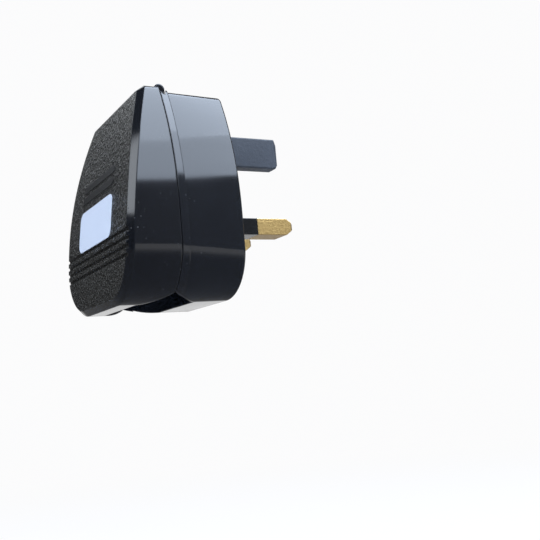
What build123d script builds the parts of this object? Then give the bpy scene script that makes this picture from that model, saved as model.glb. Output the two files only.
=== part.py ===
from build123d import *
from math import sqrt
import os

# Converter plug: a hinged housing that closes round a flat two-pin plug.
# X runs across, seen from behind, Y the way the flat pins point, Z up to the earth pin and the hinge.
# The origin is on the pin face, midway between the flat pins.

# housing outline, taken at the seam, at the ledge under the rim and at the pin face
seam_y = -16.2
seam_gap = 0.2
seam_half_width = 24.0
seam_top = 32.2
seam_bottom = -17.7
seam_corner = 13.0
seam_top_corner = 2.0
rim_height = 2.0
rim_taper = 0.5
ledge_step = 0.4
face_half_width = 22.4
face_top = 31.3
face_bottom = -17.45
face_corner = 11.4
wall_top_corner = 2.2
face_edge_radius = 0.8
side_radius = 68.0
side_centre_z = 1.5

# walls
base_wall = 1.75
face_thickness = 3.2
lid_wall = 1.6
panel_thickness = 1.8
rib_thickness = 1.1
rib_inset = 0.35

# raised lip on the base that the lid closes over
lip_height = 2.0
lip_clearance = 0.15
lip_hinge_gap = 5.3

# slot between each side block of the plug's seat and the wall
slot_depth = 6.5
slot_width = 1.4
slot_end = 5.0
seat_end = 0.6

# back panel of the lid: flat at the cord end, then bending towards the hinge
panel_y = -28.7
panel_bend_z = -12.0
panel_radius = 130.0
panel_bevel = 1.4
groove_width = 0.8
groove_depth = 0.4
groove_pitch = 1.83
groove_count = 4
groove_first_z = -2.6

# flat two-pin plug that the housing closes round
plug_half_width = 17.65
plug_flat_half_width = 11.0
plug_half_thickness = 6.85
plug_clearance = 0.15
plug_front_z = 0.0
socket_pin_x = 8.9
socket_pin_radius = 2.0

# hinge, its barrel a little proud of the top
knuckle_radius = 1.3
barrel_rise = 0.4
knuckle_room = 0.4
hinge_half_length = 16.8
base_knuckle_inner = 3.9
base_knuckle_outer = 11.0
knuckle_side_gap = 0.2
hinge_pin_radius = 0.6
hinge_pin_clearance = 0.05
hinge_pin_half_length = 14.8
hinge_pin_end_gap = 0.1
barrel_end_gap = 0.6
ear_depth = 2.0
ear_root = 0.4

# flat pins and earth pin
flat_pin_x = 11.1
flat_pin_width = 6.35
flat_pin_thickness = 4.0
flat_pin_length = 17.7
sleeve_length = 7.8
sleeve_wall = 0.5
pin_root = 6.0
pin_tip = 1.35
pin_tip_length = 1.9
pin_tip_side = 0.6
earth_pin_z = 22.23
earth_pin_width = 4.0
earth_pin_height = 8.0
earth_pin_length = 22.7
earth_flange = 1.2
earth_flange_thickness = 1.5
earth_tip = 1.3
earth_edge_radius = 0.4

# fuse across the pin face, with its carrier, below the flat pins
fuse_z = -9.5
fuse_radius = 3.15
fuse_length = 25.4
fuse_cap_length = 5.6
fuse_cap_edge = 0.4
fuse_tube_radius = 2.7
carrier_thickness = 1.0
carrier_rim = 0.7
carrier_clearance = 0.1
carrier_corner = 0.8
cradle_end_gap = 1.1
cradle_half_height = 3.6
cradle_gap = 1.0
lift_half_width = 2.5
lift_depth = 0.6
lift_height = 1.2
clip_thickness = 0.5
clip_clearance = 0.05
clip_width = 4.4
clip_shift = 0.6
clip_mouth = 1.4
chamber_end_gap = 0.9
chamber_side_gap = 0.1

# copper contacts
strip_thickness = 0.5
leaf_bottom_z = 3.6
leaf_top_z = 17.0
leaf_pinch = 1.75
leaf_splay = 0.35
contact_rise = 1.3
contact_heel = 0.5
channel_wall = 0.9
channel_clearance = 0.15
channel_turn = 2.2
channel_tail = 1.2
channel_tail_gap = 0.1
link_clearance = 0.1
riser_half_width = 2.0
bridge_low_z = 18.8
bridge_high_z = 25.4
bridge_half_width = 3.5
bridge_rise = 0.7
blade_x = -15.9
blade_fold = 1.9
blade_drop = 0.6
blade_top_z = 11.0
link_half_width = 2.0
feed_x = 3.0
feed_width = 3.0
feed_height = 3.0
feed_pin_gap = 0.4

# screw that holds the lid shut
screw_z = 11.5
screw_radius = 1.45
screw_clearance = 0.15
screw_head_radius = 2.6
screw_head_height = 2.0
screw_head_edge = 0.6
screw_back = -0.6
screw_length = 16.4
screw_seat_y = -9.0
screw_slot_width = 0.7
screw_slot_depth = 0.8
screw_tip = 0.8
pillar_radius = 3.5
pillar_drop = 0.8
boss_radius = 2.6
boss_hole_radius = 1.3
boss_rise = 1.7
boss_floor = 0.5

# stop post of the base, and ribs, tongue and rests of the lid
stop_radius = 1.2
stop_hinge_gap = 3.3
stop_drop = 2.0
low_ribs_z = (-10.5, -4.9)
rib_drop = 0.8
rib_lip_gap = 0.3
front_gap = 0.1
socket_pin_gap = 0.2
front_window_half_width = 12.6
tongue_half_width = 4.7
tongue_length = 6.2
tongue_floor = 1.2
guide_length = 6.0
rests = ((13.5, 15.5, 1.9), (-13.5, 15.5, 1.9), (8.6, 27.0, 1.6))
rest_height = 1.2

ledge_y = seam_y + rim_height
ledge_half_width = seam_half_width - rim_taper - ledge_step
ledge_top = seam_top - rim_taper - ledge_step
ledge_bottom = seam_bottom + ledge_step / 2
ledge_corner = seam_corner - ledge_step
bay_floor_y = -face_thickness
bay_front_z = plug_front_z + seat_end
hinge_z = seam_top + barrel_rise - knuckle_radius
lip_end_z = hinge_z - lip_hinge_gap
fuse_y = -(carrier_thickness + carrier_clearance + fuse_radius + clip_clearance)
chamber_floor_y = fuse_y - fuse_radius - clip_clearance - clip_thickness
chamber_half_width = max(fuse_length / 2 + chamber_end_gap, flat_pin_x + link_half_width + clip_clearance)
cradle_half_width = fuse_length / 2 - fuse_cap_length - cradle_end_gap
chamber_half_height = fuse_radius + clip_clearance + clip_thickness + chamber_side_gap
carrier_half_width = chamber_half_width + carrier_rim
carrier_half_height = chamber_half_height + carrier_rim
clip_x = (fuse_length - fuse_cap_length) / 2 + clip_shift
link_low_z = fuse_z + chamber_half_height - chamber_side_gap
contact_top_y = seam_y - contact_rise
bridge_y = seam_y - bridge_rise
blade_top_y = seam_y + blade_drop
pillar_top_y = seam_y + pillar_drop
boss_mouth_y = seam_y - boss_rise
wide = seam_half_width + 6


def block(x0, x1, y0, y1, z0, z1):
    return Pos((x0 + x1) / 2, (y0 + y1) / 2, (z0 + z1) / 2) * Box(x1 - x0, y1 - y0, z1 - z0)


def rod(radius, y0, y1, x, z):
    return Pos(x, (y0 + y1) / 2, z) * Rot(90, 0, 0) * Cylinder(radius, y1 - y0)


def barrel(radius, x0, x1):
    return Pos((x0 + x1) / 2, seam_y, hinge_z) * Rot(0, 90, 0) * Cylinder(radius, x1 - x0)


def outline(half_width, top, bottom, corner, top_corner, y, inset=0.0):
    # flat bottom, large bottom corners, sides that draw in along one arc, and a flat top
    w = half_width - inset
    t = top - inset
    b = bottom + inset
    radius = side_radius - inset
    centre_x = w - radius
    top_x = centre_x + sqrt(radius**2 - (t - side_centre_z) ** 2)
    middle_z = (side_centre_z + t) / 2
    middle_x = centre_x + sqrt(radius**2 - (middle_z - side_centre_z) ** 2)
    edges = [
        Line((-w, b), (w, b)),
        Line((w, b), (w, side_centre_z)),
        ThreePointArc((w, side_centre_z), (middle_x, middle_z), (top_x, t)),
        Line((top_x, t), (-top_x, t)),
        ThreePointArc((-top_x, t), (-middle_x, middle_z), (-w, side_centre_z)),
        Line((-w, side_centre_z), (-w, b)),
    ]
    face = make_face(edges)
    low = [v for v in face.vertices() if v.Y < b + 0.01]
    face = fillet(low, corner - inset)
    high = [v for v in face.vertices() if v.Y > t - 0.01]
    face = fillet(high, max(top_corner - inset, 0.4))
    return Plane.XZ.offset(-y) * face


def seam_outline(y, inset=0.0):
    return outline(seam_half_width, seam_top, seam_bottom, seam_corner, seam_top_corner, y, inset)


def wall_outline(y, inset=0.0):
    # section of the base wall at depth y, between the ledge and the pin face
    share = y / ledge_y
    half_width = face_half_width + share * (ledge_half_width - face_half_width)
    top = face_top + share * (ledge_top - face_top)
    bottom = face_bottom + share * (ledge_bottom - face_bottom)
    corner = face_corner + share * (ledge_corner - face_corner)
    return outline(half_width, top, bottom, corner, wall_top_corner, y, inset)


def seam_prism(y0, y1, inset=0.0):
    # the seam outline carried along Y, from y0 to the lower y1
    return extrude(seam_outline(y0, inset), y0 - y1)


def ledge_prism(y0, y1, inset=0.0):
    # the ledge outline carried along Y, from y0 to the lower y1
    return Pos(0, y0 - ledge_y, 0) * extrude(wall_outline(ledge_y, inset), y0 - y1)


def plug_space(clearance, z0, z1):
    # hexagonal section of the flat plug, carried along Z
    wide = plug_half_width + clearance
    flat = plug_flat_half_width + clearance
    deep = plug_half_thickness + clearance
    section = Polygon((-wide, 0), (-flat, -deep), (flat, -deep), (wide, 0), (flat, deep), (-flat, deep), align=None)
    return Pos(0, seam_y, z0) * extrude(section, z1 - z0)


def panel_depth(z):
    if z < panel_bend_z:
        return panel_y
    return panel_y + panel_radius - sqrt(panel_radius**2 - (z - panel_bend_z) ** 2)


def behind_panel(offset, z0, z1):
    # everything on the plug's side of the back panel's surface, moved in by offset
    reach = seam_half_width * 2
    middle_z = (panel_bend_z + z1) / 2
    edges = [
        Line((0, z0), (panel_y + offset, z0)),
        Line((panel_y + offset, z0), (panel_y + offset, panel_bend_z)),
        ThreePointArc(
            (panel_y + offset, panel_bend_z),
            (panel_depth(middle_z) + offset, middle_z),
            (panel_depth(z1) + offset, z1),
        ),
        Line((panel_depth(z1) + offset, z1), (0, z1)),
        Line((0, z1), (0, z0)),
    ]
    return Pos(-reach / 2, 0, 0) * extrude(Plane.YZ * make_face(edges), reach)


def knuckles(ranges, radius):
    return Part() + [barrel(radius, x0, x1) for x0, x1 in ranges]


base_ranges = [(base_knuckle_inner, base_knuckle_outer), (-base_knuckle_outer, -base_knuckle_inner)]
lid_end_inner = base_knuckle_outer + knuckle_side_gap
lid_middle = base_knuckle_inner - knuckle_side_gap
lid_ranges = [
    (lid_end_inner, hinge_half_length),
    (-lid_middle, lid_middle),
    (-hinge_half_length, -lid_end_inner),
]
hinge_bore_end = hinge_pin_half_length + hinge_pin_end_gap
hinge_bore = barrel(hinge_pin_radius + hinge_pin_clearance, -hinge_half_length - 1, hinge_bore_end)


def make_rim():
    low = seam_outline(seam_y)
    high = outline(
        seam_half_width - rim_taper,
        seam_top - rim_taper,
        seam_bottom + ledge_step / 4,
        seam_corner - rim_taper / 2,
        seam_top_corner,
        ledge_y,
    )
    rim = loft([low, high])
    return rim - block(-wide, wide, seam_y - 1, ledge_y + 1, ledge_top, seam_top + 1)


def make_lip():
    lip_y = seam_y - lip_height
    lip = seam_prism(seam_y, lip_y, lid_wall + lip_clearance) - ledge_prism(seam_y, lip_y, base_wall)
    return lip - block(-wide, wide, seam_y - 5, seam_y + 5, lip_end_z, seam_top)


def pin_channel(x):
    # two walls beside one pin of the plug, with a turned-out end towards the hinge
    half_gap = leaf_pinch + leaf_splay + strip_thickness + channel_clearance
    top_y = seam_y - rib_drop
    low_z = leaf_bottom_z - contact_heel + link_clearance
    high_z = leaf_top_z + channel_tail
    turn_z = leaf_top_z + channel_tail_gap
    walls = []
    for side in (-1, 1):
        centre = x + side * (half_gap + channel_wall / 2)
        turned = centre + side * channel_turn
        walls.append(block(centre - channel_wall / 2, centre + channel_wall / 2, top_y, bay_floor_y, low_z, high_z))
        walls.append(block(min(centre, turned), max(centre, turned), top_y, bay_floor_y, turn_z, high_z))
    return walls


def make_base():
    shell = loft([wall_outline(ledge_y), wall_outline(0)])
    face_edges = shell.faces().sort_by(Axis.Y)[-1].edges()
    shell = fillet(face_edges, face_edge_radius)
    collar = extrude(wall_outline(ledge_y), rim_height)
    base = shell + collar + make_rim()

    bay = loft([wall_outline(ledge_y, base_wall), wall_outline(bay_floor_y, base_wall)])
    bay += ledge_prism(ledge_y, seam_y - lip_height, base_wall)
    bay -= block(-wide, wide, seam_y - 5, 0, seam_bottom, bay_front_z)
    base -= bay

    # seat of the plug, with a slot between each side block and the wall
    base -= plug_space(plug_clearance, seam_bottom - 1, bay_front_z)
    slot_y = seam_y + slot_depth
    slot = ledge_prism(slot_y, seam_y - 1, base_wall) - ledge_prism(slot_y, seam_y - 1, base_wall + slot_width)
    base -= slot & block(-wide, wide, seam_y - 1, slot_y, seam_bottom + slot_end, bay_front_z)
    base += make_lip() - plug_space(plug_clearance, seam_bottom - 1, bay_front_z)

    # channels beside the plug's pins, screw pillar and stop post
    for x in (socket_pin_x, -socket_pin_x):
        base += pin_channel(x)
    base += rod(pillar_radius, pillar_top_y, bay_floor_y, 0, screw_z)
    base += rod(stop_radius, seam_y + stop_drop, bay_floor_y, 0, hinge_z - stop_hinge_gap)
    base -= rod(screw_head_radius + screw_clearance, screw_seat_y, 1, 0, screw_z)
    base -= rod(screw_radius + screw_clearance, pillar_top_y - 1, 0, 0, screw_z)

    # hinge ears, and room for the lid's barrel
    relief_end = hinge_half_length + barrel_end_gap
    relief = barrel(knuckle_radius + knuckle_room, -relief_end, relief_end)
    relief -= knuckles(base_ranges, knuckle_radius + knuckle_room + 0.1)
    base -= relief
    base -= knuckles(base_ranges, knuckle_radius)
    for x0, x1 in base_ranges:
        base += block(x0, x1, seam_y, ledge_y + ear_root, hinge_z - knuckle_radius, ledge_top)
    base += knuckles(base_ranges, knuckle_radius)
    base -= hinge_bore

    # fuse chamber, the carrier's rebate, and holes for the pins
    low_z = fuse_z - chamber_half_height
    high_z = fuse_z + chamber_half_height
    base -= block(-chamber_half_width, chamber_half_width, chamber_floor_y, 1, low_z, high_z)
    rebate_x = carrier_half_width + carrier_clearance
    rebate_z = carrier_half_height + carrier_clearance
    base -= block(
        -rebate_x, rebate_x, -carrier_thickness - carrier_clearance, 1, fuse_z - rebate_z, fuse_z + rebate_z
    )
    half_w = flat_pin_width / 2
    half_t = flat_pin_thickness / 2
    for x in (flat_pin_x, -flat_pin_x):
        base -= block(x - half_w, x + half_w, -pin_root, 1, -half_t, half_t)
    base -= block(
        -earth_pin_width / 2,
        earth_pin_width / 2,
        bay_floor_y - 1,
        1,
        earth_pin_z - earth_pin_height / 2,
        earth_pin_z + earth_pin_height / 2,
    )
    # passages of the copper strips
    base -= live_link_path()
    base -= neutral_link_path()
    base -= feed_path()
    return base


def make_lid():
    rim_y = seam_y - seam_gap
    prism = seam_prism(rim_y, panel_y - 2)
    lid = prism & behind_panel(0, seam_bottom - 5, seam_top + 5)
    panel_faces = [f for f in lid.faces() if f.normal_at().Y < -0.9]
    border = []
    for face in panel_faces:
        for edge in face.edges():
            middle = edge.position_at(0.5)
            if abs(middle.Z - panel_bend_z) > 0.01 or abs(middle.X) > seam_half_width - 1:
                border.append(edge)
    lid = chamfer(border, panel_bevel)

    hollow = seam_prism(rim_y + 1, panel_y, lid_wall) & behind_panel(panel_thickness, seam_bottom - 5, seam_top + 5)
    lid -= hollow
    lid += make_lid_ribs() & hollow
    lid -= plug_space(plug_clearance, seam_bottom - 1, plug_front_z)
    for index in range(groove_count):
        z = groove_first_z - index * groove_pitch
        y = panel_depth(z)
        lid -= block(-wide, wide, y - 2, y + groove_depth, z - groove_width / 2, z + groove_width / 2)

    # barrel along the hinge edge
    envelope = seam_prism(0, panel_y)
    for x0, x1 in base_ranges:
        lid -= barrel(knuckle_radius + knuckle_room, x0 - knuckle_side_gap, x1 + knuckle_side_gap)
    for x0, x1 in lid_ranges:
        ear = block(x0, x1, seam_y - ear_depth, seam_y, hinge_z - knuckle_radius, hinge_z + knuckle_radius)
        lid += ear & envelope
        lid += barrel(knuckle_radius, x0, x1)
    lid -= hinge_bore
    return lid


def make_lid_ribs():
    full = seam_y - lip_height - rib_lip_gap
    low = seam_y - rib_drop
    span = seam_prism(full, panel_y) + ledge_prism(low, full, base_wall + rib_inset)
    ribs = Part()
    for z in low_ribs_z:
        rib = block(-wide, wide, panel_y, seam_y, z - rib_thickness / 2, z + rib_thickness / 2)
        ribs += rib & span
    wall_z = plug_front_z + front_gap
    front = block(-wide, wide, panel_y, seam_y, wall_z, wall_z + rib_thickness) & span
    ledge_level = seam_y - socket_pin_radius - socket_pin_gap
    front -= block(-front_window_half_width, front_window_half_width, ledge_level, seam_y, wall_z - 1, wall_z + 2)
    tongue_end = wall_z + tongue_length
    inner = tongue_half_width - rib_thickness
    tongue = block(-tongue_half_width, tongue_half_width, panel_y, ledge_level, wall_z, tongue_end)
    tongue -= block(-inner, inner, panel_y, ledge_level - tongue_floor, wall_z + rib_thickness, tongue_end + 1)
    ribs += front
    ribs += tongue
    for x0, x1 in ((-tongue_half_width, -inner), (inner, tongue_half_width)):
        ribs += block(x0, x1, panel_y, ledge_level, tongue_end - 0.2, screw_z + guide_length)
    boss = rod(boss_radius, panel_y, boss_mouth_y, 0, screw_z)
    ribs += boss
    ribs -= rod(boss_hole_radius, panel_depth(screw_z) + panel_thickness + boss_floor, boss_mouth_y + 1, 0, screw_z)
    # round bosses that bear on the base
    for x, z, radius in rests:
        ribs += rod(radius, panel_y, panel_depth(z) + panel_thickness + rest_height, x, z)
    return ribs


def make_hinge_pin():
    return barrel(hinge_pin_radius, -hinge_pin_half_length, hinge_pin_half_length)


def make_flat_pin(x):
    half_w = flat_pin_width / 2
    half_t = flat_pin_thickness / 2
    neck = flat_pin_length - pin_tip_length
    tip_t = half_t - pin_tip
    section = Polygon(
        (sleeve_length, -half_t),
        (neck, -half_t),
        (flat_pin_length, -tip_t),
        (flat_pin_length, tip_t),
        (neck, half_t),
        (sleeve_length, half_t),
        align=None,
    )
    shaft = Pos(x - half_w, 0, 0) * extrude(Plane.YZ * section, flat_pin_width)
    tip_edges = shaft.faces().sort_by(Axis.Y)[-1].edges().filter_by(Axis.Z)
    shaft = chamfer(tip_edges, pin_tip_side)
    waist = block(
        x - half_w + sleeve_wall, x + half_w - sleeve_wall, 0, sleeve_length, -half_t + sleeve_wall, half_t - sleeve_wall
    )
    root = block(x - half_w, x + half_w, -pin_root, 0, -half_t, half_t)
    return shaft + waist + root


def make_sleeve(x):
    half_w = flat_pin_width / 2
    half_t = flat_pin_thickness / 2
    outer = block(x - half_w, x + half_w, 0, sleeve_length, -half_t, half_t)
    inner = block(
        x - half_w + sleeve_wall, x + half_w - sleeve_wall, -1, sleeve_length + 1, -half_t + sleeve_wall, half_t - sleeve_wall
    )
    return outer - inner


def make_earth_pin():
    half_w = earth_pin_width / 2
    half_h = earth_pin_height / 2
    shaft = block(-half_w, half_w, bay_floor_y, earth_pin_length, earth_pin_z - half_h, earth_pin_z + half_h)
    tip_edges = shaft.faces().sort_by(Axis.Y)[-1].edges()
    shaft = chamfer(tip_edges, earth_tip)
    long_edges = shaft.edges().filter_by(Axis.Y)
    shaft = fillet(long_edges, earth_edge_radius)
    flange = block(
        -half_w - earth_flange,
        half_w + earth_flange,
        bay_floor_y - earth_flange_thickness,
        bay_floor_y,
        earth_pin_z - half_h - earth_flange,
        earth_pin_z + half_h,
    )
    return shaft + flange


def leaf(x, side):
    # one spring leaf: pinched in at the middle, splayed at its mouth
    middle_z = (leaf_bottom_z + leaf_top_z) / 2
    end = x + side * (leaf_pinch + leaf_splay)
    pinch = x + side * leaf_pinch
    curve = ThreePointArc((end, leaf_bottom_z), (pinch, middle_z), (end, leaf_top_z))
    back = ThreePointArc(
        (end + side * strip_thickness, leaf_top_z),
        (pinch + side * strip_thickness, middle_z),
        (end + side * strip_thickness, leaf_bottom_z),
    )
    edges = [curve, Line(curve @ 1, back @ 0), back, Line(back @ 1, curve @ 0)]
    start_y = bay_floor_y - strip_thickness / 2
    return extrude(Plane.XZ.offset(-start_y) * make_face(edges), start_y - contact_top_y)


def contact_plate(x):
    half = leaf_pinch + leaf_splay + strip_thickness
    return block(
        x - half, x + half, bay_floor_y - strip_thickness, bay_floor_y, leaf_bottom_z - contact_heel, leaf_top_z
    )


def make_contact(side):
    x = side * socket_pin_x
    contact = contact_plate(x) + leaf(x, 1) + leaf(x, -1)
    if side > 0:
        # bridge over the end of the live pin, on a riser from the plate
        contact += block(
            x - bridge_half_width, x + bridge_half_width, bridge_y, bridge_y + strip_thickness, bridge_low_z, bridge_high_z
        )
        x0 = x - riser_half_width
        x1 = x + riser_half_width
        contact += block(x0, x1, bridge_y, bay_floor_y, bridge_high_z - strip_thickness, bridge_high_z)
        contact += block(x0, x1, bay_floor_y - strip_thickness, bay_floor_y, leaf_top_z, bridge_high_z)
    return contact


def live_link_path():
    # from the live pin's root down to the fuse's end
    x0 = flat_pin_x - link_half_width
    x1 = flat_pin_x + link_half_width
    return block(x0, x1, chamber_floor_y, -pin_root, link_low_z, flat_pin_thickness / 2)


def neutral_link_path():
    # under the neutral pin's root and out into the bay
    half_t = flat_pin_thickness / 2
    x0 = -flat_pin_x - link_half_width
    x1 = -flat_pin_x + link_half_width
    return block(x0, x1, -pin_root - strip_thickness, -pin_root, -half_t, bay_front_z)


def feed_path():
    # from the fuse chamber up between the flat pins into the bay
    return block(feed_x, feed_x + feed_width, chamber_floor_y, chamber_floor_y + strip_thickness, link_low_z, bay_front_z)


def fuse_ring(x):
    outer = fuse_radius + clip_clearance + clip_thickness
    inner = fuse_radius + clip_clearance
    ring = Pos(x, fuse_y, fuse_z) * Rot(0, 90, 0) * (Cylinder(outer, clip_width) - Cylinder(inner, clip_width))
    return ring - block(x - clip_width, x + clip_width, fuse_y + clip_mouth, 0, fuse_z - outer, fuse_z + outer)


def make_fuse_clip_pin():
    clip = fuse_ring(clip_x)
    x0 = flat_pin_x - link_half_width
    x1 = flat_pin_x + link_half_width
    end_z = flat_pin_thickness / 2
    tail = block(x0, x1, chamber_floor_y, chamber_floor_y + strip_thickness, fuse_z, end_z)
    tail -= Pos(clip_x, fuse_y, fuse_z) * Rot(0, 90, 0) * Cylinder(fuse_radius + clip_clearance, fuse_length)
    foot = block(x0, x1, chamber_floor_y, -pin_root, end_z - strip_thickness, end_z)
    return clip + tail + foot


def make_fuse_clip_load():
    clip = fuse_ring(-clip_x)
    floor = chamber_floor_y + strip_thickness
    x1 = feed_x + feed_width
    low_z = fuse_z - feed_height / 2
    run = block(-clip_x, x1, chamber_floor_y, floor, low_z, low_z + feed_height)
    rise = block(feed_x, x1, chamber_floor_y, floor, low_z, bay_front_z + strip_thickness)
    drop_x = socket_pin_x - leaf_pinch - leaf_splay - strip_thickness - channel_wall - channel_clearance - link_clearance
    drop = block(feed_x, drop_x, chamber_floor_y, bay_floor_y, bay_front_z, bay_front_z + strip_thickness)
    end_x = flat_pin_x - flat_pin_width / 2 - feed_pin_gap
    reach = block(feed_x, end_x, bay_floor_y - strip_thickness, bay_floor_y, bay_front_z, leaf_bottom_z - contact_heel)
    return clip + run + rise + drop + reach


def make_neutral_link():
    half_t = flat_pin_thickness / 2
    x0 = -flat_pin_x - link_half_width
    x1 = -flat_pin_x + link_half_width
    heel_z = leaf_bottom_z - contact_heel
    inner = block(x0, x1, -pin_root - strip_thickness, -pin_root, -half_t, half_t + strip_thickness)
    down = block(x0, x1, -pin_root, bay_floor_y, half_t, half_t + strip_thickness)
    out = block(blade_x, x1, bay_floor_y - strip_thickness, bay_floor_y, half_t, heel_z)
    blade = block(blade_x, blade_x + strip_thickness, blade_top_y, bay_floor_y, half_t, blade_top_z)
    fold = block(blade_x, blade_x + blade_fold, blade_top_y, blade_top_y + strip_thickness, half_t, blade_top_z)
    return inner + down + out + blade + fold


def make_fuse_tube():
    length = fuse_length - 2 * fuse_cap_length
    return Pos(0, fuse_y, fuse_z) * Rot(0, 90, 0) * Cylinder(fuse_tube_radius, length)


def make_fuse_cap(side):
    x = side * (fuse_length - fuse_cap_length) / 2
    cap = Pos(x, fuse_y, fuse_z) * Rot(0, 90, 0) * Cylinder(fuse_radius, fuse_cap_length)
    end = cap.faces().sort_by(Axis.X)[-1 if side > 0 else 0].edges()
    return fillet(end, fuse_cap_edge)


def make_carrier():
    plate = block(
        -carrier_half_width,
        carrier_half_width,
        -carrier_thickness,
        0,
        fuse_z - carrier_half_height,
        fuse_z + carrier_half_height,
    )
    plate = fillet(plate.edges().filter_by(Axis.Y), carrier_corner)
    cradle = block(
        -cradle_half_width,
        cradle_half_width,
        fuse_y + cradle_gap,
        -carrier_thickness,
        fuse_z - cradle_half_height,
        fuse_z + cradle_half_height,
    )
    cradle -= Pos(0, fuse_y, fuse_z) * Rot(0, 90, 0) * Cylinder(fuse_tube_radius + carrier_clearance, fuse_length)
    low_z = fuse_z - carrier_half_height
    notch = block(-lift_half_width, lift_half_width, -lift_depth, 1, low_z - 1, low_z + lift_height)
    return plate + cradle - notch


def make_lid_screw():
    head = rod(screw_head_radius, screw_back - screw_head_height, screw_back, 0, screw_z)
    head = fillet(head.faces().sort_by(Axis.Y)[-1].edges(), screw_head_edge)
    tip_y = screw_back - screw_length
    shank = rod(screw_radius, tip_y, screw_back - screw_head_height, 0, screw_z)
    shank = chamfer(shank.faces().sort_by(Axis.Y)[0].edges(), screw_tip)
    half = screw_slot_width / 2
    reach = screw_head_radius + 1
    low_y = screw_back - screw_slot_depth
    slot = block(-reach, reach, low_y, 1, screw_z - half, screw_z + half)
    slot += block(-half, half, low_y, 1, screw_z - reach, screw_z + reach)
    return head + shank - slot


parts = {
    "base_shell": make_base(),
    "lid": make_lid(),
    "hinge_pin": make_hinge_pin(),
    "live_pin": make_flat_pin(flat_pin_x),
    "neutral_pin": make_flat_pin(-flat_pin_x),
    "live_pin_sleeve": make_sleeve(flat_pin_x),
    "neutral_pin_sleeve": make_sleeve(-flat_pin_x),
    "earth_pin": make_earth_pin(),
    "live_contact": make_contact(1),
    "neutral_contact": make_contact(-1),
    "neutral_link": make_neutral_link(),
    "fuse_tube": make_fuse_tube(),
    "fuse_cap_left": make_fuse_cap(-1),
    "fuse_cap_right": make_fuse_cap(1),
    "fuse_carrier": make_carrier(),
    "fuse_clip_pin": make_fuse_clip_pin(),
    "fuse_clip_load": make_fuse_clip_load(),
    "lid_screw": make_lid_screw(),
}

os.makedirs("parts", exist_ok=True)
for name, solid in parts.items():
    export_step(solid, f"parts/{name}.step")
    box = solid.bounding_box()
    print(name, len(solid.solids()), round(solid.volume, 1), box.min, box.max)
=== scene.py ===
import bpy
import bmesh
import math
from mathutils import Matrix, Vector


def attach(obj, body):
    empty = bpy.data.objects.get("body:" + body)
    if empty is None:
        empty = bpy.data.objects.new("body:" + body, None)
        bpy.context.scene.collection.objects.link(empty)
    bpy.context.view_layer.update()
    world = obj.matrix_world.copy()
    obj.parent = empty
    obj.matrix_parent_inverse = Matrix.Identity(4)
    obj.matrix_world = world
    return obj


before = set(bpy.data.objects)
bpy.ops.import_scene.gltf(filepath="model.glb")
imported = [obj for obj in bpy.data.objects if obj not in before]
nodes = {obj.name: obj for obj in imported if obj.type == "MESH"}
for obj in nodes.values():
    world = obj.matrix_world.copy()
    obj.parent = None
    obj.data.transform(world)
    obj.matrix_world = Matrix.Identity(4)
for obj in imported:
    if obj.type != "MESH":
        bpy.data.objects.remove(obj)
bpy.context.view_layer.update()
mm = 0.001  # sizes below are in millimetres, unless a note says metres
scene = bpy.context.scene
scene.view_settings.view_transform = "Standard"
print("stage 1: frame loaded,", len(nodes), "pieces")

# Sockets of the Mix node by number, because their names repeat
mixInput = {"factor": 0, "floatA": 2, "floatB": 3, "colourA": 6, "colourB": 7}
mixOutput = {"float": 0, "colour": 2}


# Helpers for node trees
def addNode(tree, kind, at=(0, 0), **values):
    node = tree.nodes.new(kind)
    node.location = at
    for key, value in values.items():
        setattr(node, key, value)
    return node


def setInputs(node, **values):
    # From_Min names the input From Min
    for key, value in values.items():
        node.inputs[key.replace("_", " ")].default_value = value


def setOrLink(tree, socket, value):
    # a plain value is set on the socket, another node's output is linked to it
    if isinstance(value, (int, float, tuple)):
        socket.default_value = value
    else:
        tree.links.new(value, socket)


def newGroup(name, inputs, outputs):
    group = bpy.data.node_groups.new(name, "ShaderNodeTree")
    for socketName, kind, value in inputs:
        socket = group.interface.new_socket(socketName, in_out="INPUT", socket_type=kind)
        if value is not None:
            socket.default_value = value
    for socketName, kind in outputs:
        group.interface.new_socket(socketName, in_out="OUTPUT", socket_type=kind)
    inside = addNode(group, "NodeGroupInput", (-900, 0))
    outside = addNode(group, "NodeGroupOutput", (900, 0))
    return group, inside, outside


def placeGroup(tree, group, at, **values):
    node = addNode(tree, "ShaderNodeGroup", at, node_tree=group)
    for key, value in values.items():
        setOrLink(tree, node.inputs[key], value)
    return node


def mathNode(tree, operation, *values, at, clamp=False):
    node = addNode(tree, "ShaderNodeMath", at, operation=operation, use_clamp=clamp)
    for socket, value in zip(node.inputs, values):
        setOrLink(tree, socket, value)
    return node.outputs["Value"]


def spanNode(tree, share, low, high, at):
    # low where the share is 0, high where it is 1
    return mathNode(tree, "MULTIPLY_ADD", share, high - low, low, at=at)


def rampNode(tree, source, band, at):
    # 0 below the band, 1 above it, smooth between
    node = addNode(tree, "ShaderNodeMapRange", at, interpolation_type="SMOOTHSTEP")
    tree.links.new(source, node.inputs["Value"])
    low, high = band
    setInputs(node, From_Min=low, From_Max=high, To_Min=0.0, To_Max=1.0)
    return node.outputs["Result"]


def mixColour(tree, factor, first, second, at):
    node = addNode(tree, "ShaderNodeMix", at, data_type="RGBA")
    tree.links.new(factor, node.inputs[mixInput["factor"]])
    for key, value in (("colourA", first), ("colourB", second)):
        if isinstance(value, tuple):
            value = (*value, 1.0)
        setOrLink(tree, node.inputs[mixInput[key]], value)
    return node.outputs[mixOutput["colour"]]


def bumpOn(tree, height, normal, strength, depth, at):
    node = addNode(tree, "ShaderNodeBump", at)
    setInputs(node, Strength=strength, Distance=depth * mm)
    tree.links.new(height, node.inputs["Height"])
    tree.links.new(normal, node.inputs["Normal"])
    return node.outputs["Normal"]


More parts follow.
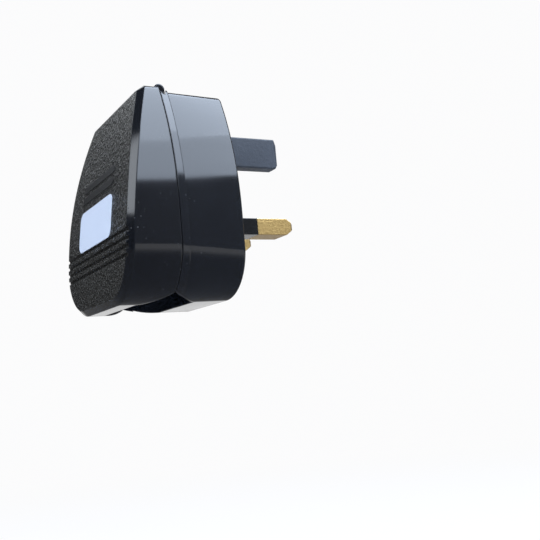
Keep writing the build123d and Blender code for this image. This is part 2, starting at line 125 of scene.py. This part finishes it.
def newMaterial(name):
    material = bpy.data.materials.new(name)
    material.use_nodes = True
    tree = material.node_tree
    tree.nodes.clear()
    output = addNode(tree, "ShaderNodeOutputMaterial", (900, 0))
    shader = addNode(tree, "ShaderNodeBsdfPrincipled", (600, 0))
    tree.links.new(shader.outputs["BSDF"], output.inputs["Surface"])
    return material, tree, shader


# Shared effects: each group puts out masks that vary over the surface, with scales per metre

# Eroded mould texture: fine random pits with softer lumps between them
grainPattern = {
    "fine": {"Detail": 3.0, "Roughness": 0.65}, "lumpBand": (0.3, 0.7),
    "pitScale": 0.62, "pitBand": (0.1, 0.75), "lumpShare": 0.45,
}


def makeGrainGroup():
    group, inside, outside = newGroup(
        "mouldGrain",
        [
            ("Vector", "NodeSocketVector", None),
            ("Scale", "NodeSocketFloat", 2600.0),
            ("Mask", "NodeSocketFloat", 1.0),
        ],
        [("Height", "NodeSocketFloat"), ("Pits", "NodeSocketFloat")],
    )
    place, scale, mask = (inside.outputs[key] for key in ("Vector", "Scale", "Mask"))
    fine = addNode(group, "ShaderNodeTexNoise", (-600, 200))
    setInputs(fine, **grainPattern["fine"])
    pits = addNode(group, "ShaderNodeTexVoronoi", (-600, -200), feature="F1")
    pitScale = mathNode(group, "MULTIPLY", scale, grainPattern["pitScale"], at=(-750, -100))
    for node, size in ((fine, scale), (pits, pitScale)):
        group.links.new(place, node.inputs["Vector"])
        group.links.new(size, node.inputs["Scale"])
    lumps = rampNode(group, fine.outputs["Fac"], grainPattern["lumpBand"], (-350, 200))
    deep = rampNode(group, pits.outputs["Distance"], grainPattern["pitBand"], (-350, -200))
    mixed = mathNode(group, "MULTIPLY", lumps, deep, at=(0, 0))
    low = mathNode(group, "MULTIPLY", lumps, grainPattern["lumpShare"], at=(0, 200))
    summed = mathNode(group, "ADD", mixed, low, at=(200, 0))
    for source, key, y in ((summed, "Height", 0), (lumps, "Pits", -200)):
        masked = mathNode(group, "MULTIPLY", source, mask, at=(450, y))
        group.links.new(masked, outside.inputs[key])
    return group


# Hairline scratches, settled dust and a slow change of polish
handlingPattern = {
    "streak": {"Scale": 420.0, "Detail": 5.0, "Roughness": 0.7}, "streakBand": (0.63, 0.72),
    "speck": {"Scale": 900.0, "Randomness": 1.0}, "speckBand": (0.06, 0.16),
    "drift": {"Scale": 95.0, "Detail": 4.0, "Roughness": 0.6}, "driftBand": (0.52, 0.68),
    "slow": {"Scale": 38.0, "Detail": 2.0, "Roughness": 0.5}, "slowBand": (0.3, 0.7),
}


def makeHandlingGroup():
    group, inside, outside = newGroup(
        "handling",
        [
            ("Vector", "NodeSocketVector", None),
            ("Across", "NodeSocketVector", (1.0, 1.0, 1.0)),
        ],
        [
            ("Scratches", "NodeSocketFloat"),
            ("Dust", "NodeSocketFloat"),
            ("Polish", "NodeSocketFloat"),
        ],
    )
    place = inside.outputs["Vector"]
    stretched = addNode(group, "ShaderNodeVectorMath", (-650, 250), operation="MULTIPLY")
    group.links.new(place, stretched.inputs[0])
    group.links.new(inside.outputs["Across"], stretched.inputs[1])

    def pattern(key, kind, outputName, vector, y):
        texture = addNode(group, kind, (-450, y))
        setInputs(texture, **handlingPattern[key])
        group.links.new(vector, texture.inputs["Vector"])
        return rampNode(
            group, texture.outputs[outputName], handlingPattern[key + "Band"], (-200, y)
        )

    streaks = pattern("streak", "ShaderNodeTexNoise", "Fac", stretched.outputs["Vector"], 250)
    farFromSpeck = pattern("speck", "ShaderNodeTexVoronoi", "Distance", place, -50)
    drifts = pattern("drift", "ShaderNodeTexNoise", "Fac", place, -300)
    polish = pattern("slow", "ShaderNodeTexNoise", "Fac", place, -550)
    specks = mathNode(group, "SUBTRACT", 1.0, farFromSpeck, at=(0, -50))
    dust = mathNode(group, "MULTIPLY", specks, drifts, at=(250, -100))
    for key, mask in (("Scratches", streaks), ("Dust", dust), ("Polish", polish)):
        group.links.new(mask, outside.inputs[key])
    return group


# Rounded edges as the light sees them, and a mask of where they are
edgePattern = {"samples": 6, "band": (0.01, 0.2)}


def makeEdgeGroup():
    group, inside, outside = newGroup(
        "softEdge",
        [("Radius", "NodeSocketFloat", 0.0002)],
        [("Normal", "NodeSocketVector"), ("Edge", "NodeSocketFloat")],
    )
    bevel = addNode(group, "ShaderNodeBevel", (-500, 100), samples=edgePattern["samples"])
    group.links.new(inside.outputs["Radius"], bevel.inputs["Radius"])
    plain = addNode(group, "ShaderNodeNewGeometry", (-500, -150))
    dot = addNode(group, "ShaderNodeVectorMath", (-250, 0), operation="DOT_PRODUCT")
    group.links.new(bevel.outputs["Normal"], dot.inputs[0])
    group.links.new(plain.outputs["Normal"], dot.inputs[1])
    turned = mathNode(group, "SUBTRACT", 1.0, dot.outputs["Value"], at=(0, -50))
    edge = rampNode(group, turned, edgePattern["band"], (200, -50))
    group.links.new(bevel.outputs["Normal"], outside.inputs["Normal"])
    group.links.new(edge, outside.inputs["Edge"])
    return group


grainGroup = makeGrainGroup()
handlingGroup = makeHandlingGroup()
edgeGroup = makeEdgeGroup()

# Marks that are the same on every finish
marks = {"dustRough": 0.3, "scratchDepth": 0.03}

# What a finish has unless its own look says otherwise
plainLook = {
    "across": (1.0, 1.0, 1.0), "grain": 0.0, "grainOn": "everywhere", "metal": 0.0, "ior": 1.46,
}

# The eroded area: where the lid faces backwards, short of the smooth border
panelFacing = (0.86, 0.9)


def panelMask(tree, place):
    parts = addNode(tree, "ShaderNodeSeparateXYZ", (-1000, -900))
    tree.links.new(place.outputs["Normal"], parts.inputs["Vector"])
    backwards = mathNode(tree, "MULTIPLY", parts.outputs["Y"], -1.0, at=(-900, -1000))
    return rampNode(tree, backwards, panelFacing, (-800, -950))


# One finish: base colour with handling marks, uneven polish, soft edges
def makeFinish(name, ownLook):
    look = {**plainLook, **ownLook}
    material, tree, shader = newMaterial(name)
    place = addNode(tree, "ShaderNodeTexCoord", (-1100, 0))
    where = place.outputs["Object"]
    handling = placeGroup(tree, handlingGroup, (-800, -200), Vector=where, Across=look["across"])
    scratches, dust, polish = (handling.outputs[key] for key in ("Scratches", "Dust", "Polish"))
    edge = placeGroup(tree, edgeGroup, (-800, 300), Radius=look["edge"] * mm)

    colour = mixColour(tree, polish, look["colour"], look["shade"], (-450, 400))
    dusty = mathNode(tree, "MULTIPLY", dust, look["dust"], at=(-500, 150))
    colour = mixColour(tree, dusty, colour, look["dustColour"], (-250, 400))
    worn = mathNode(tree, "MULTIPLY", edge.outputs["Edge"], look["wear"], at=(-450, 650))
    colour = mixColour(tree, worn, colour, look["wornColour"], (0, 400))

    rough = mathNode(tree, "MULTIPLY", polish, look["roughSpread"], at=(-450, -100))
    rough = mathNode(tree, "ADD", rough, look["rough"], at=(-250, -100))
    scored = mathNode(tree, "MULTIPLY", scratches, look["scratchRough"], at=(-450, -300))
    rough = mathNode(tree, "ADD", rough, scored, at=(-100, -150))
    dulled = mathNode(tree, "MULTIPLY", dust, marks["dustRough"], at=(-250, -400))
    rough = mathNode(tree, "ADD", rough, dulled, at=(50, -200), clamp=True)

    sunk = mathNode(tree, "MULTIPLY", scratches, -1.0, at=(-250, -550))
    normal = bumpOn(
        tree, sunk, edge.outputs["Normal"], look["scratchBump"], marks["scratchDepth"], (100, -500)
    )
    if look["grain"] > 0:
        onPanel = look["grainOn"] == "panel"
        mask = panelMask(tree, place) if onPanel else 1.0
        grain = placeGroup(
            tree, grainGroup, (-800, -700), Vector=where, Scale=look["grainScale"], Mask=mask
        )
        height, pits = grain.outputs["Height"], grain.outputs["Pits"]
        normal = bumpOn(tree, height, normal, look["grain"], look["grainDepth"], (300, -600))
        pitted = mathNode(tree, "MULTIPLY", pits, look["grainRough"], at=(-450, -800))
        if onPanel:
            flat = mathNode(tree, "MULTIPLY", mask, look["grainRoughBase"], at=(-450, -950))
            pitted = mathNode(tree, "ADD", pitted, flat, at=(-250, -850))
            colour = mixColour(tree, mask, colour, look["grainColour"], (200, 300))
        rough = mathNode(tree, "ADD", rough, pitted, at=(300, -200), clamp=True)

    tree.links.new(colour, shader.inputs["Base Color"])
    tree.links.new(rough, shader.inputs["Roughness"])
    tree.links.new(normal, shader.inputs["Normal"])
    setInputs(shader, Metallic=look["metal"], IOR=look["ior"])
    return material


looks = {
    "housingBlack": {
        "colour": (0.0042, 0.0052, 0.0076), "shade": (0.007, 0.0083, 0.011),
        "rough": 0.055, "roughSpread": 0.05, "dust": 0.35, "dustColour": (0.2, 0.2, 0.2),
        "wear": 0.25, "wornColour": (0.05, 0.05, 0.055), "edge": 0.4, "ior": 1.5,
        "scratchRough": 0.06, "scratchBump": 0.04, "across": (0.25, 0.25, 3.0),
    },
    "lidBlack": {
        "colour": (0.0043, 0.0051, 0.0072), "shade": (0.0072, 0.0082, 0.0105),
        "rough": 0.06, "roughSpread": 0.05, "dust": 0.3, "dustColour": (0.2, 0.2, 0.2),
        "wear": 0.25, "wornColour": (0.05, 0.05, 0.055), "edge": 0.4, "ior": 1.5,
        "scratchRough": 0.06, "scratchBump": 0.04, "across": (0.25, 0.25, 3.0),
        "grain": 1.0, "grainOn": "panel", "grainScale": 1250.0, "grainDepth": 0.42,
        "grainRough": 0.45, "grainRoughBase": 0.02, "grainColour": (0.0095, 0.009, 0.0082),
    },
    "sleeveBlack": {
        "colour": (0.006, 0.0062, 0.0072), "shade": (0.01, 0.0102, 0.011),
        "rough": 0.2, "roughSpread": 0.1, "dust": 0.25, "dustColour": (0.2, 0.2, 0.2),
        "wear": 0.3, "wornColour": (0.05, 0.05, 0.05), "edge": 0.2,
        "scratchRough": 0.15, "scratchBump": 0.3, "across": (2.0, 0.2, 2.0),
    },
    "carrierBlack": {
        "colour": (0.016, 0.016, 0.017), "shade": (0.023, 0.023, 0.024),
        "rough": 0.34, "roughSpread": 0.1, "dust": 0.3, "dustColour": (0.22, 0.22, 0.22),
        "wear": 0.3, "wornColour": (0.06, 0.06, 0.06), "edge": 0.2,
        "scratchRough": 0.15, "scratchBump": 0.3, "across": (0.3, 1.0, 2.0),
        "grain": 0.35, "grainScale": 3000.0, "grainDepth": 0.03, "grainRough": 0.1,
    },
    "earthGrey": {
        "colour": (0.026, 0.032, 0.044), "shade": (0.045, 0.053, 0.069),
        "rough": 0.33, "roughSpread": 0.16, "dust": 0.25, "dustColour": (0.3, 0.3, 0.3),
        "wear": 0.35, "wornColour": (0.14, 0.14, 0.15), "edge": 0.3,
        "scratchRough": 0.12, "scratchBump": 0.25, "across": (2.5, 0.2, 2.5),
        "grain": 0.4, "grainScale": 1100.0, "grainDepth": 0.035, "grainRough": 0.14,
    },
    "pinBrass": {
        "colour": (0.7, 0.485, 0.195), "shade": (0.6, 0.405, 0.155), "metal": 1.0,
        "rough": 0.29, "roughSpread": 0.1, "dust": 0.15, "dustColour": (0.35, 0.3, 0.2),
        "wear": 0.3, "wornColour": (0.9, 0.78, 0.5), "edge": 0.25,
        "scratchRough": 0.2, "scratchBump": 0.5, "across": (3.0, 0.15, 3.0),
        "grain": 0.3, "grainScale": 2100.0, "grainDepth": 0.03, "grainRough": 0.1,
    },
    "copperStrip": {
        "colour": (0.9, 0.52, 0.3), "shade": (0.76, 0.39, 0.22), "metal": 1.0,
        "rough": 0.38, "roughSpread": 0.16, "dust": 0.15, "dustColour": (0.3, 0.2, 0.12),
        "wear": 0.3, "wornColour": (0.92, 0.6, 0.4), "edge": 0.1,
        "scratchRough": 0.25, "scratchBump": 0.4, "across": (3.0, 3.0, 0.2),
    },
    "platedSteel": {
        "colour": (0.56, 0.56, 0.57), "shade": (0.46, 0.46, 0.47), "metal": 1.0,
        "rough": 0.26, "roughSpread": 0.14, "dust": 0.15, "dustColour": (0.3, 0.3, 0.3),
        "wear": 0.3, "wornColour": (0.75, 0.75, 0.75), "edge": 0.12,
        "scratchRough": 0.2, "scratchBump": 0.4, "across": (3.0, 0.3, 3.0),
    },
    "nickelCap": {
        "colour": (0.72, 0.7, 0.64), "shade": (0.62, 0.6, 0.55), "metal": 1.0,
        "rough": 0.16, "roughSpread": 0.1, "dust": 0.1, "dustColour": (0.3, 0.3, 0.3),
        "wear": 0.3, "wornColour": (0.85, 0.83, 0.78), "edge": 0.15,
        "scratchRough": 0.2, "scratchBump": 0.3, "across": (0.3, 3.0, 3.0),
    },
    "fuseCeramic": {
        "colour": (0.78, 0.76, 0.7), "shade": (0.7, 0.68, 0.62),
        "rough": 0.5, "roughSpread": 0.15, "dust": 0.2, "dustColour": (0.5, 0.48, 0.42),
        "wear": 0.2, "wornColour": (0.85, 0.84, 0.8), "edge": 0.15,
        "scratchRough": 0.1, "scratchBump": 0.1,
        "grain": 0.2, "grainScale": 4000.0, "grainDepth": 0.02, "grainRough": 0.1,
    },
    "labelPale": {
        "colour": (0.74, 0.81, 0.95), "shade": (0.7, 0.77, 0.91),
        "rough": 0.3, "roughSpread": 0.12, "dust": 0.3, "dustColour": (0.4, 0.4, 0.4),
        "wear": 0.35, "wornColour": (0.8, 0.85, 0.95), "edge": 0.08,
        "scratchRough": 0.15, "scratchBump": 0.15, "across": (0.3, 1.0, 2.0),
        "grain": 0.15, "grainScale": 5000.0, "grainDepth": 0.01, "grainRough": 0.08,
    },
}
finishes = {name: makeFinish(name, look) for name, look in looks.items()}
print("stage 2: finishes made,", len(finishes))

nodeFinish = {
    "base_shell": "housingBlack", "lid": "lidBlack", "hinge_pin": "platedSteel",
    "live_pin": "pinBrass", "neutral_pin": "pinBrass", "earth_pin": "earthGrey",
    "live_pin_sleeve": "sleeveBlack", "neutral_pin_sleeve": "sleeveBlack",
    "live_contact": "copperStrip", "neutral_contact": "copperStrip",
    "neutral_link": "copperStrip", "fuse_clip_pin": "copperStrip",
    "fuse_clip_load": "copperStrip", "fuse_tube": "fuseCeramic", "fuse_cap_left": "nickelCap",
    "fuse_cap_right": "nickelCap", "fuse_carrier": "carrierBlack", "lid_screw": "platedSteel",
}

# Smooth shading over curved faces, sharp where two faces meet at more than the angle
smoothing = {"angle": 24, "weldGap": 0.002}


def makeSmoothGroup():
    group = bpy.data.node_groups.new("smoothCurves", "GeometryNodeTree")
    for side in ("INPUT", "OUTPUT"):
        group.interface.new_socket("Geometry", in_out=side, socket_type="NodeSocketGeometry")
    inside = addNode(group, "NodeGroupInput", (-600, 0))
    outside = addNode(group, "NodeGroupOutput", (600, 0))
    faces = addNode(group, "GeometryNodeSetShadeSmooth", (-200, 0), domain="FACE")
    edges = addNode(group, "GeometryNodeSetShadeSmooth", (200, 0), domain="EDGE")
    between = addNode(group, "GeometryNodeInputMeshEdgeAngle", (-400, -200))
    below = addNode(
        group, "FunctionNodeCompare", (-100, -200), data_type="FLOAT", operation="LESS_EQUAL"
    )
    below.inputs["B"].default_value = math.radians(smoothing["angle"])
    group.links.new(between.outputs["Unsigned Angle"], below.inputs["A"])
    group.links.new(inside.outputs["Geometry"], faces.inputs["Geometry"])
    group.links.new(faces.outputs["Geometry"], edges.inputs["Geometry"])
    group.links.new(below.outputs["Result"], edges.inputs["Shade Smooth"])
    group.links.new(edges.outputs["Geometry"], outside.inputs["Geometry"])
    return group


smoothGroup = makeSmoothGroup()


def smoothPiece(piece):
    weld = piece.modifiers.new("weld", "WELD")
    weld.merge_threshold = smoothing["weldGap"] * mm
    smooth = piece.modifiers.new("smoothCurves", "NODES")
    smooth.node_group = smoothGroup


for name, piece in nodes.items():
    piece.data.materials.clear()
    piece.data.materials.append(finishes[nodeFinish[name]])
    smoothPiece(piece)


# Helpers for the added pieces
def joinRings(mesh, rings):
    # a wall of four-cornered faces from each ring to the next
    count = len(rings[0])
    for lower, upper in zip(rings, rings[1:]):
        for index in range(count):
            after = (index + 1) % count
            mesh.faces.new((lower[index], lower[after], upper[after], upper[index]))


def addPiece(name, mesh, finish, body):
    bmesh.ops.recalc_face_normals(mesh, faces=mesh.faces)
    data = bpy.data.meshes.new(name)
    mesh.to_mesh(data)
    mesh.free()
    piece = bpy.data.objects.new(name, data)
    scene.collection.objects.link(piece)
    piece.data.materials.append(finishes[finish])
    smoothPiece(piece)
    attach(piece, body)


# Back panel of the lid: flat in its lower part, then an arc that bends to the hinge
panel = {"flatY": -28.7, "bendZ": -12.0, "radius": 130.0}


def panelDepth(z):
    if z < panel["bendZ"]:
        return panel["flatY"]
    rise = z - panel["bendZ"]
    return panel["flatY"] + panel["radius"] - math.sqrt(panel["radius"] ** 2 - rise**2)


def roundedOutline(halfWidth, low, high, corner, steps):
    # corners in turn, each a quarter circle
    points = []
    corners = [
        (halfWidth - corner, low + corner, -90),
        (halfWidth - corner, high - corner, 0),
        (-halfWidth + corner, high - corner, 90),
        (-halfWidth + corner, low + corner, 180),
    ]
    for x, z, start in corners:
        for step in range(steps + 1):
            angle = math.radians(start + 90 * step / steps)
            points.append((x + corner * math.cos(angle), z + corner * math.sin(angle)))
    return points


def makePlate(name, shape, finish):
    # thin plate that follows the back panel, with a small bevel round its face
    mesh = bmesh.new()
    thickness, bevel = shape["thickness"], shape["bevel"]
    layers = [(0.0, -shape["foot"]), (0.0, thickness - bevel), (bevel, thickness)]
    rings = []
    for inset, height in layers:
        outline = roundedOutline(
            shape["halfWidth"] - inset, shape["low"] + inset, shape["high"] - inset,
            shape["corner"] - inset, shape["cornerSteps"],
        )
        rings.append([
            mesh.verts.new(((shape["x"] + x) * mm, (panelDepth(z) - height) * mm, z * mm))
            for x, z in outline
        ])
    joinRings(mesh, rings)
    # the face is cut in rows, so that it bends with the panel
    top = rings[-1]
    half = len(top) // 2
    rightSide = top[:half]
    leftSide = top[half:][::-1]
    for index in range(half - 1):
        after = index + 1
        mesh.faces.new((rightSide[index], rightSide[after], leftSide[after], leftSide[index]))
    mesh.faces.new(rings[0][::-1])
    addPiece(name, mesh, finish, "lid")


label = {
    "x": -0.2, "halfWidth": 12.3, "low": -2.1, "high": 7.9, "corner": 2.2, "cornerSteps": 8,
    "thickness": 0.16, "bevel": 0.05, "foot": 0.02,
}
makePlate("back_label", label, "labelPale")

# Two bare raised strips above the label
strip = {
    "x": -0.2, "rows": (10.9, 13.7), "halfWidth": 11.6, "height": 1.9, "corner": 0.6,
    "cornerSteps": 8, "thickness": 0.12, "bevel": 0.05, "foot": 0.02,
}
for index, z in enumerate(strip["rows"]):
    low, high = z - strip["height"] / 2, z + strip["height"] / 2
    row = {**strip, "low": low, "high": high}
    makePlate("bare_strip_" + str(index + 1), row, "carrierBlack")
print("stage 3: label and strips placed")

# Hollow rivets that hold the contacts down: rolled lip round a dimple
rivet = {
    "x": (8.9, -8.9), "seatY": -3.7, "z": 10.3, "sides": 32,
    "profile": [  # radius and height above the seat
        (1.1, -0.02), (1.12, 0.1), (1.04, 0.26), (0.86, 0.36), (0.66, 0.34), (0.54, 0.22),
        (0.5, 0.06),
    ],
}


def makeRivet(name, x):
    mesh = bmesh.new()
    rings = []
    for radius, height in rivet["profile"]:
        ring = []
        for step in range(rivet["sides"]):
            angle = 2 * math.pi * step / rivet["sides"]
            across, up = radius * math.cos(angle), radius * math.sin(angle)
            point = Vector((x + across, rivet["seatY"] - height, rivet["z"] + up))
            ring.append(mesh.verts.new(point * mm))
        rings.append(ring)
    joinRings(mesh, rings)
    mesh.faces.new(rings[0])
    mesh.faces.new(rings[-1])
    addPiece(name, mesh, "copperStrip", "root")


for index, x in enumerate(rivet["x"]):
    makeRivet("contact_rivet_" + str(index + 1), x)

# Thread of the lid screw: a ridge wound round the shank, thin at both ends
thread = {
    "z": 11.5, "startY": -16.1, "pitch": 1.1, "turns": 6.5, "root": 1.42, "crest": 1.57,
    "foot": 0.3, "steps": 28, "endShare": 0.15, "risePerTurn": 2.0,
}


def makeThread():
    mesh = bmesh.new()
    steps, root = thread["steps"], thread["root"]
    halfFoot = thread["foot"] / 2
    count = int(thread["turns"] * steps)
    rings = []
    for step in range(count + 1):
        angle = 2 * math.pi * step / steps
        middle = thread["startY"] + thread["pitch"] * step / steps
        fromEnds = [
            thread["risePerTurn"] * left / steps + thread["endShare"]
            for left in (step, count - step)
        ]
        crest = root + (thread["crest"] - root) * min(1.0, *fromEnds)
        ring = []
        for radius, shift in ((root, -halfFoot), (crest, 0.0), (root, halfFoot)):
            across, up = radius * math.cos(angle), radius * math.sin(angle)
            point = Vector((across, middle + shift, thread["z"] + up))
            ring.append(mesh.verts.new(point * mm))
        rings.append(ring)
    joinRings(mesh, rings)
    mesh.faces.new(rings[0])
    mesh.faces.new(rings[-1])
    addPiece("screw_thread", mesh, "platedSteel", "root")


makeThread()
print("stage 4: rivets and screw thread placed")

# Camera: stands where the closed view was taken from, with the same framing
cameraView = {
    "at": (186.8, -86.7, -36.3), "towards": (-0.865, 0.4855, 0.1285), "roll": -5.02,
    "lens": 55.16, "sensor": 36.0, "nearClip": 10.0, "farClip": 20000.0,
}


def makeCamera():
    data = bpy.data.cameras.new("photoCamera")
    data.lens = cameraView["lens"]
    data.sensor_width = cameraView["sensor"]
    data.clip_start = cameraView["nearClip"] * mm
    data.clip_end = cameraView["farClip"] * mm
    camera = bpy.data.objects.new("photoCamera", data)
    scene.collection.objects.link(camera)
    stand = Matrix.Translation(Vector(cameraView["at"]) * mm)
    aim = Vector(cameraView["towards"]).to_track_quat("-Z", "Y").to_matrix().to_4x4()
    roll = Matrix.Rotation(math.radians(cameraView["roll"]), 4, "Z")
    camera.matrix_world = stand @ aim @ roll
    scene.camera = camera


makeCamera()

# Studio in metres: pale floor, pale world, soft lamps
seenColour = (0.97, 0.97, 0.975)
floorLook = {
    "z": -0.14, "size": 8.0, "colour": (0.86, 0.87, 0.88), "dim": 0.97, "rough": 0.9,
    "mottle": {"Scale": 3.0, "Detail": 2.0}, "eyeShare": 0.86, "fadeBand": (0.3, 0.9),
    # the mirror strengths paint a shadow on the floor as mirrors see it: dim near the object,
    # bright far away
    "mirrorPaintedShadow": 0.17, "mirrorFar": 1.0, "mirrorBand": (-0.25, 0.25),
}
worldLook = {
    "colour": (0.82, 0.88, 1.0), "light": 0.22,
    "mirrorBack": 0.06, "mirrorFront": 0.22, "mirrorBand": (-0.25, 0.3),
}
lamps = {
    "skyHigh": {
        "towards": (0.66, 0.62), "rise": 64, "away": 1.1, "size": (1.1, 0.85),
        "glow": 8.4, "colour": (0.72, 0.83, 1.0),
    },
    "skyLow": {
        "towards": (0.66, 0.62), "rise": 34.5, "away": 1.2, "size": (1.1, 0.36),
        "glow": 6.2, "colour": (0.72, 0.83, 1.0),
    },
    "backHigh": {
        "towards": (-0.94, -0.34), "rise": 44, "away": 1.1, "size": (0.9, 0.55),
        "glow": 2.2, "colour": (0.9, 0.95, 1.0),
    },
    "backSoft": {
        "towards": (0.45, -0.9), "rise": 36, "away": 1.3, "size": (0.55, 0.8),
        "glow": 5.2, "colour": (0.86, 0.92, 1.0),
    },
}


def paleSight(tree, eyeShare, mirrorLight, at):
    # strength and share of the pale colour: full for the eye, dimmer in a mirror or through glass
    x, y = at
    path = addNode(tree, "ShaderNodeLightPath", at)
    eye, glossy, through = (
        path.outputs[key] for key in ("Is Camera Ray", "Is Glossy Ray", "Is Transmission Ray")
    )
    mirror = mathNode(tree, "MAXIMUM", glossy, through, at=(x + 200, y - 150))
    share = mathNode(tree, "MULTIPLY", eye, eyeShare, at=(x + 200, y))
    share = mathNode(tree, "MAXIMUM", share, mirror, at=(x + 400, y))
    strength = addNode(tree, "ShaderNodeMix", (x + 400, y + 200), data_type="FLOAT")
    for key, value in (("factor", eye), ("floatA", mirrorLight), ("floatB", 1.0)):
        setOrLink(tree, strength.inputs[mixInput[key]], value)
    return strength.outputs[mixOutput["float"]], share


def mixShaders(tree, share, first, second, at):
    node = addNode(tree, "ShaderNodeMixShader", at)
    for socket, source in zip(node.inputs, (share, first, second)):
        tree.links.new(source, socket)
    return node.outputs["Shader"]


def makeFloorFinish():
    material, tree, shader = newMaterial("studioPale")
    mottle = addNode(tree, "ShaderNodeTexNoise", (0, 200))
    setInputs(mottle, **floorLook["mottle"])
    dim = tuple(floorLook["dim"] * value for value in floorLook["colour"])
    colour = mixColour(tree, mottle.outputs["Fac"], floorLook["colour"], dim, (250, 200))
    tree.links.new(colour, shader.inputs["Base Color"])
    setInputs(shader, Roughness=floorLook["rough"])
    place = addNode(tree, "ShaderNodeTexCoord", (-1200, 900))
    where = place.outputs["Object"]
    # the floor keeps its shading near the object and fades into the backdrop
    away = addNode(tree, "ShaderNodeVectorMath", (-1000, 900), operation="LENGTH")
    tree.links.new(where, away.inputs[0])
    fade = rampNode(tree, away.outputs["Value"], floorLook["fadeBand"], (-800, 900))
    eyeShare = spanNode(tree, fade, floorLook["eyeShare"], 1.0, (-600, 900))
    # painted shadow: in a mirror the floor is dim near the object and on the back panel's side,
    # bright only far away on the pins' side
    parts = addNode(tree, "ShaderNodeSeparateXYZ", (-1000, 1200))
    tree.links.new(where, parts.inputs["Vector"])
    pinsSide = rampNode(tree, parts.outputs["Y"], floorLook["mirrorBand"], (-800, 1200))
    paintedShadowFade = mathNode(tree, "MULTIPLY", fade, pinsSide, at=(-700, 1100))
    mirrorLight = spanNode(
        tree, paintedShadowFade, floorLook["mirrorPaintedShadow"], floorLook["mirrorFar"], (-600, 1100)
    )
    strength, share = paleSight(tree, eyeShare, mirrorLight, (-600, 600))
    glow = addNode(tree, "ShaderNodeEmission", (600, 300))
    setInputs(glow, Color=(*seenColour, 1.0))
    tree.links.new(strength, glow.inputs["Strength"])
    pale = mixShaders(tree, share, shader.outputs["BSDF"], glow.outputs["Emission"], (750, 200))
    # seen from below, the floor is clear
    below = addNode(tree, "ShaderNodeNewGeometry", (600, 700))
    clear = addNode(tree, "ShaderNodeBsdfTransparent", (750, 500))
    sight = mixShaders(tree, below.outputs["Backfacing"], pale, clear.outputs["BSDF"], (850, 300))
    output = [node for node in tree.nodes if node.type == "OUTPUT_MATERIAL"][0]
    tree.links.new(sight, output.inputs["Surface"])
    return material


def makeFloor():
    data = bpy.data.meshes.new("studioFloor")
    half = floorLook["size"] / 2
    corners = [(-half, -half), (half, -half), (half, half), (-half, half)]
    data.from_pydata([(x, y, floorLook["z"]) for x, y in corners], [], [(0, 1, 2, 3)])
    floor = bpy.data.objects.new("studioFloor", data)
    scene.collection.objects.link(floor)
    data.materials.append(makeFloorFinish())


def makeWorld():
    world = bpy.data.worlds.new("studioWorld")
    scene.world = world
    world.use_nodes = True
    tree = world.node_tree
    tree.nodes.clear()
    output = addNode(tree, "ShaderNodeOutputWorld", (600, 0))
    lit = addNode(tree, "ShaderNodeBackground", (0, 100))
    setInputs(lit, Color=(*worldLook["colour"], 1.0), Strength=worldLook["light"])
    # dimmer in a mirror behind the back panel than on the pins' side
    direction = addNode(tree, "ShaderNodeTexCoord", (-1300, 300))
    parts = addNode(tree, "ShaderNodeSeparateXYZ", (-1100, 300))
    tree.links.new(direction.outputs["Generated"], parts.inputs["Vector"])
    turned = rampNode(tree, parts.outputs["Y"], worldLook["mirrorBand"], (-900, 300))
    mirrorLight = spanNode(
        tree, turned, worldLook["mirrorBack"], worldLook["mirrorFront"], (-750, 300)
    )
    strength, share = paleSight(tree, 1.0, mirrorLight, (-600, 300))
    seen = addNode(tree, "ShaderNodeBackground", (0, -100))
    setInputs(seen, Color=(*seenColour, 1.0))
    tree.links.new(strength, seen.inputs["Strength"])
    sky = mixShaders(tree, share, lit.outputs["Background"], seen.outputs["Background"], (300, 0))
    tree.links.new(sky, output.inputs["Surface"])


def makeLamps():
    for name, lamp in lamps.items():
        data = bpy.data.lights.new(name, "AREA")
        data.shape = "RECTANGLE"
        data.size, data.size_y = lamp["size"]
        data.energy = lamp["glow"] * math.pi * data.size * data.size_y  # the same glow at any size
        data.color = lamp["colour"]
        light = bpy.data.objects.new(name, data)
        light.visible_camera = False
        flat = Vector((*lamp["towards"], 0)).normalized()
        rise = math.radians(lamp["rise"])
        light.location = (flat * math.cos(rise) + Vector((0, 0, math.sin(rise)))) * lamp["away"]
        light.rotation_euler = (-light.location).to_track_quat("-Z", "Y").to_euler()
        scene.collection.objects.link(light)


makeFloor()
makeWorld()
makeLamps()
print("stage 5: camera, floor and lamps placed")
